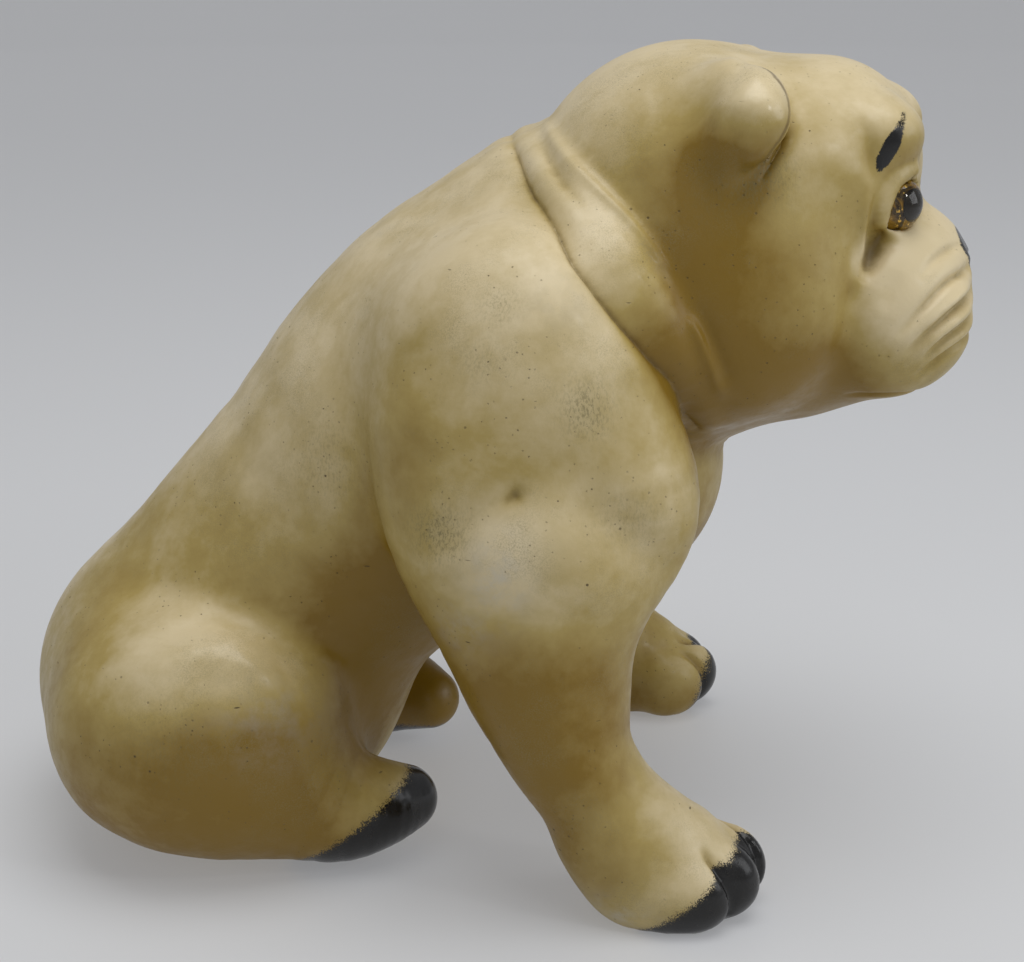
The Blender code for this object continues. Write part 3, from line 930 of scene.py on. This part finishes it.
def cream_paint():
    m = Paint("cream_paint")
    broad, cloud = m.noise(9.0, 3.0), m.noise(38.0, 4.0, 0.6, warp=0.3)
    mottle, grain = m.noise(140.0, 4.0, 0.65), m.noise(900.0, 3.0, 0.7)
    speck = m.noise(2600.0, 2.0, 0.6)

    # Ochre airbrushing and painted shade, in two steps from cream to dark ochre.
    ochre_and_shade = m.add(m.attribute("ochre_and_shade"), m.span(broad, 0.35, 0.7, -0.10, 0.15),
                  m.span(cloud, 0.3, 0.72, -0.11, 0.14), m.span(mottle, 0.3, 0.7, -0.05, 0.05))
    colour = m.mix(m.span(ochre_and_shade, 0.04, 0.56, linear=True), CREAM, OCHRE_AND_SHADE_MID)
    colour = m.mix(m.span(ochre_and_shade, 0.56, 1.12, linear=True), colour, OCHRE_AND_SHADE_DEEP)
    # Painted crease shadow: brown in the creases and along the ear's edge.
    deep = m.span(m.add(m.attribute("crease_shade"), m.span(mottle, 0.3, 0.7, -0.3, 0.3)), 0.7, 2.6)
    colour = m.mix(m.times(deep, 0.72), colour, CREASE_SHADOW_BROWN)

    chalk = m.times(m.attribute("chalk"), m.span(mottle, 0.30, 0.72))
    colour = m.mix(m.times(chalk, 0.60), colour, RUBBED_PLASTER)
    pale = m.times(m.span(cloud, 0.56, 0.72), m.span(mottle, 0.42, 0.70),
                   m.span(ochre_and_shade, 0.2, 0.6, 1.0, 0.0))
    colour = m.mix(m.times(pale, 0.22), colour, PALE_CREAM)

    rub = m.noise(1500.0, 4.0, 0.75, where=m.stretched((1.0, 1.0, 0.45)))
    # Grey-green grime, and the painted shadow under the ear.
    grime_and_shade = m.times(m.attribute("grime_and_shade"), m.add(m.span(rub, 0.47, 0.60, 0.0, 0.8), 0.2))
    colour = m.mix(m.times(grime_and_shade, 0.8), colour, GREEN_GRIME_AND_SHADE)
    film = m.times(m.span(m.noise(24.0, 5.0, 0.7), 0.46, 0.72), m.span(speck, 0.40, 0.68))
    colour = m.mix(m.times(film, 0.45), colour, THIN_GRIME)

    away, chance = m.cells(230.0)
    cluster = m.span(m.add(m.noise(30.0, 3.0), m.times(m.attribute("grime_and_shade"), 0.22)), 0.52, 0.68)
    pits = m.times(m.span(away, 0.12, 0.05), m.span(chance, 0.62, 0.66), cluster)
    fine_away, fine_chance = m.cells(620.0)
    fine = m.times(m.span(fine_away, 0.26, 0.06), m.span(fine_chance, 0.66, 0.76),
                   m.span(m.add(m.noise(55.0, 3.0), m.times(m.attribute("grime_and_shade"), 0.25)), 0.46, 0.60))
    fine = m.times(fine, m.span(speck, 0.42, 0.56))
    pits = m.math("MAXIMUM", pits, m.times(fine, 0.9))
    nick_away, nick_chance = m.cells(1.0, m.stretched((95.0, 95.0, 420.0), (0.0, 0.75, 0.3)))
    nicks = m.times(m.span(nick_away, 0.11, 0.05), m.span(nick_chance, 0.84, 0.86),
                    m.span(m.noise(17.0), 0.50, 0.6))
    marks = m.math("MAXIMUM", pits, nicks)
    colour = m.mix(m.times(marks, 0.85), colour, PIT_BROWN)

    edge = m.add(m.attribute("black"), m.times(m.math("SUBTRACT", speck, 0.5), 8.0),
                 m.times(m.math("SUBTRACT", grain, 0.5), 4.0),
                 m.times(m.math("SUBTRACT", mottle, 0.5), 2.0))
    ink = m.add(m.attribute("ink"), m.times(m.math("SUBTRACT", speck, 0.5), 1.6),
                m.times(m.math("SUBTRACT", grain, 0.5), 1.0))
    black = m.math("MAXIMUM", m.span(edge, -0.7, 0.9), m.span(ink, -0.15, 0.35))
    dust = m.times(m.span(speck, 0.62, 0.72), 0.25)
    black_colour = m.mix(dust, TOE_BLACK, DUST_ON_BLACK)
    colour = m.mix(black, colour, black_colour)

    rough = m.add(m.span(mottle, 0.3, 0.7, 0.36, 0.52), m.times(chalk, 0.2), m.times(grime_and_shade, 0.15),
                  m.times(marks, 0.3))
    smooth = m.add(m.times(black, 0.22), m.times(m.attribute("gloss"), 0.22))
    rough = m.math("SUBTRACT", rough, smooth)
    m.set(Base_Color=colour, Roughness=rough, IOR=1.42, Coat_Weight=0.10, Coat_Roughness=0.16)
    m.bump((cloud, 0.18, 0.0012), (mottle, 0.16, 0.0005), (grain, 0.20, 0.00022),
           (m.times(marks, -1.0), 0.6, 0.0004))
    return m.material


def skin():
    points, triangles, out, moved, crease_shade = skin_mesh()
    facts = painted(points, out, crease_shade)
    points = points + out * moved[:, None]
    points[:, 2] = np.maximum(points[:, 2], 0.0)
    placed = (points + np.array(OFFSET, np.float32)) * MM
    mesh = bpy.data.meshes.new("dog_skin")
    mesh.vertices.add(len(placed))
    mesh.vertices.foreach_set("co", placed.astype(np.float32).ravel())
    mesh.loops.add(len(triangles) * 3)
    mesh.loops.foreach_set("vertex_index", triangles.astype(np.int32).ravel())
    mesh.polygons.add(len(triangles))
    mesh.polygons.foreach_set("loop_start", np.arange(0, len(triangles) * 3, 3, dtype=np.int32))
    mesh.update(calc_edges=True)
    mesh.polygons.foreach_set("use_smooth", np.ones(len(triangles), bool))
    mesh.validate()
    for name, values in facts.items():
        layer = mesh.attributes.new(name, "FLOAT", "POINT")
        layer.data.foreach_set("value", values.astype(np.float32))
    mesh.materials.append(cream_paint())
    piece = bpy.data.objects.new("dog_skin", mesh)
    bpy.context.collection.objects.link(piece)
    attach(piece, "root")
    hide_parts("dog_body")


# --------------------------------------------------------------------------------------------------
# Eyes
# --------------------------------------------------------------------------------------------------


def eye_centre(side):
    low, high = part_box("eye_glass_" + side)
    radius = (high[2] - low[2]) / 2
    y = high[1] - radius if side == "left" else low[1] + radius
    return Vector((high[0] - radius, y, (low[2] + high[2]) / 2)), radius


EYES = {side: eye_centre(side) for side in ("left", "right")}
MIDWAY = (EYES["left"][0] + EYES["right"][0]) / 2
OFFSET = tuple(MIDWAY[k] / MM - DRAWN_EYES[k] for k in range(3))
GLASS_SEGMENTS = 96
IRIS_DEPTH = 0.0008
PUPIL_SHARE = 0.50  # of the glass dome's radius
PUPIL_BULGE = 0.12  # of the same
SLIP = 0.0003  # gap between the dome's back and the iris's
FUSED = 0.00008  # how deep the enamel is melted into the glass
IRIS_RISE = 0.56  # height of the domed iris, as a share of the glass dome's radius
GLASS_EDGE, PUPIL_EDGE = 0.00015, 0.00012  # narrow flats that ease their rims
ARC_STEPS, BOWL_STEPS, BULGE_STEPS = 24, 8, 6
QUARTER_TURN = math.pi / 2


def turned_solid(name, profile, side, material, replaced):
    """A solid turned about the eye's axis: profile points are distance out and radius."""
    centre, _ = EYES[side]
    degrees = HEAD_TURN + (EYE_OUTWARD if side == "left" else -EYE_OUTWARD)
    place = Matrix.Translation(centre) @ Matrix.Rotation(math.radians(degrees), 4, "Z")
    bm = bmesh.new()
    rings = []
    for out, radius in profile:
        if radius == 0.0:
            rings.append([bm.verts.new((out, 0.0, 0.0))])
            continue
        ring = []
        for step in range(GLASS_SEGMENTS):
            angle = 2 * math.pi * step / GLASS_SEGMENTS
            ring.append(bm.verts.new((out, radius * math.cos(angle), radius * math.sin(angle))))
        rings.append(ring)
    for near, far in zip(rings, rings[1:]):
        for step in range(GLASS_SEGMENTS):
            after = (step + 1) % GLASS_SEGMENTS
            corners = [near[step % len(near)], near[after % len(near)],
                       far[after % len(far)], far[step % len(far)]]
            bm.faces.new(list(dict.fromkeys(corners)))
    bmesh.ops.recalc_face_normals(bm, faces=bm.faces[:])
    bmesh.ops.transform(bm, matrix=place, verts=bm.verts[:])
    mesh = bpy.data.meshes.new(name)
    bm.to_mesh(mesh)
    bm.free()
    mesh.polygons.foreach_set("use_smooth", [True] * len(mesh.polygons))
    mesh.materials.append(material)
    piece = bpy.data.objects.new(name, mesh)
    bpy.context.collection.objects.link(piece)
    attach(piece, "root")
    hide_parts(replaced)
    return piece


def quarter_arc(steps):
    """Cosine and sine along a quarter turn, ending on the axis exactly at its first point."""
    turns = [QUARTER_TURN * step / steps for step in range(steps + 1)]
    return [(1.0, 0.0)] + [(math.cos(turn), math.sin(turn)) for turn in turns[1:]]


def glass_eye(side):
    _, radius = EYES[side]
    arc = [(radius * along, radius * around) for along, around in quarter_arc(ARC_STEPS)]
    dome = arc[:-1] + [(GLASS_EDGE, radius), (0.0, radius - GLASS_EDGE), (0.0, 0.0)]
    turned_solid("glass_dome_" + side, dome, side, FINISH["glass"],
                 "eye_glass_" + side)

    back, rim, pupil = -SLIP - IRIS_DEPTH, radius - FUSED, radius * PUPIL_SHARE
    rise = radius * IRIS_RISE
    bowl = [(back, pupil), (back, rim), (FUSED, rim)]
    for step in range(1, BOWL_STEPS + 1):
        share = step / BOWL_STEPS
        bowl.append((rise * math.sin(share * QUARTER_TURN), rim - (radius - pupil) * share))
    bowl.append((back, pupil))
    turned_solid("iris_" + side, bowl, side, FINISH["iris_" + side],
                 "eye_iris_" + side)

    button = [
        (rise + FUSED + PUPIL_BULGE * radius * along, pupil * around)
        for along, around in quarter_arc(BULGE_STEPS)
    ]
    button += [(back + PUPIL_EDGE, pupil), (back, pupil - PUPIL_EDGE), (back, 0.0)]
    turned_solid("pupil_" + side, button, side, FINISH["pupil"],
                 "eye_pupil_" + side)


def glass():
    m = Paint("eye_glass")
    smear = m.noise(320.0, 3.0)
    m.set(Base_Color=m.mix(smear, (0.95, 0.80, 0.50), (0.88, 0.68, 0.34)),
          Roughness=m.span(smear, 0.55, 0.8, 0.0, 0.035), IOR=1.5, Transmission_Weight=1.0)
    return m.material


def iris(side):
    m = Paint("amber_enamel_" + side)
    streak = m.noise(170.0, 3.0, 0.6, warp=1.0)
    flare = m.noise(750.0, 3.0, 0.6)
    colour = m.mix(m.span(streak, 0.40, 0.62), (0.020, 0.011, 0.001), (0.30, 0.185, 0.012))
    colour = m.mix(m.span(flare, 0.58, 0.68), colour, (0.85, 0.62, 0.14))
    # The emission is painted light: it makes the enamel glow behind the glass.
    m.set(Base_Color=colour, Roughness=m.span(flare, 0.3, 0.7, 0.25, 0.45), Metallic=0.25,
          Emission_Color=colour, Emission_Strength=0.22)
    m.bump((streak, 0.5, 0.0004))
    return m.material


def pupil_black():
    m = Paint("pupil_black")
    swirl = m.noise(500.0, 3.0)
    m.set(Base_Color=m.mix(swirl, (0.004, 0.004, 0.004), (0.012, 0.010, 0.009)),
          Roughness=m.span(swirl, 0.3, 0.7, 0.08, 0.2), Specular_IOR_Level=0.15)
    return m.material


def plaster():
    m = Paint("eye_plaster")
    grain = m.noise(1400.0, 4.0, 0.7)
    m.set(Base_Color=m.mix(grain, (0.62, 0.57, 0.47), (0.80, 0.77, 0.69)),
          Roughness=m.span(grain, 0.3, 0.7, 0.8, 0.95))
    m.bump((grain, 0.6, 0.0003))
    return m.material


FINISH = {
    "glass": glass(), "pupil": pupil_black(), "plaster": plaster(),
    "iris_left": iris("left"), "iris_right": iris("right"),
}

skin()
for side in ("left", "right"):
    glass_eye(side)
    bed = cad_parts["eye_bed_" + side]
    for slot in bed.material_slots:
        slot.material = FINISH["plaster"]
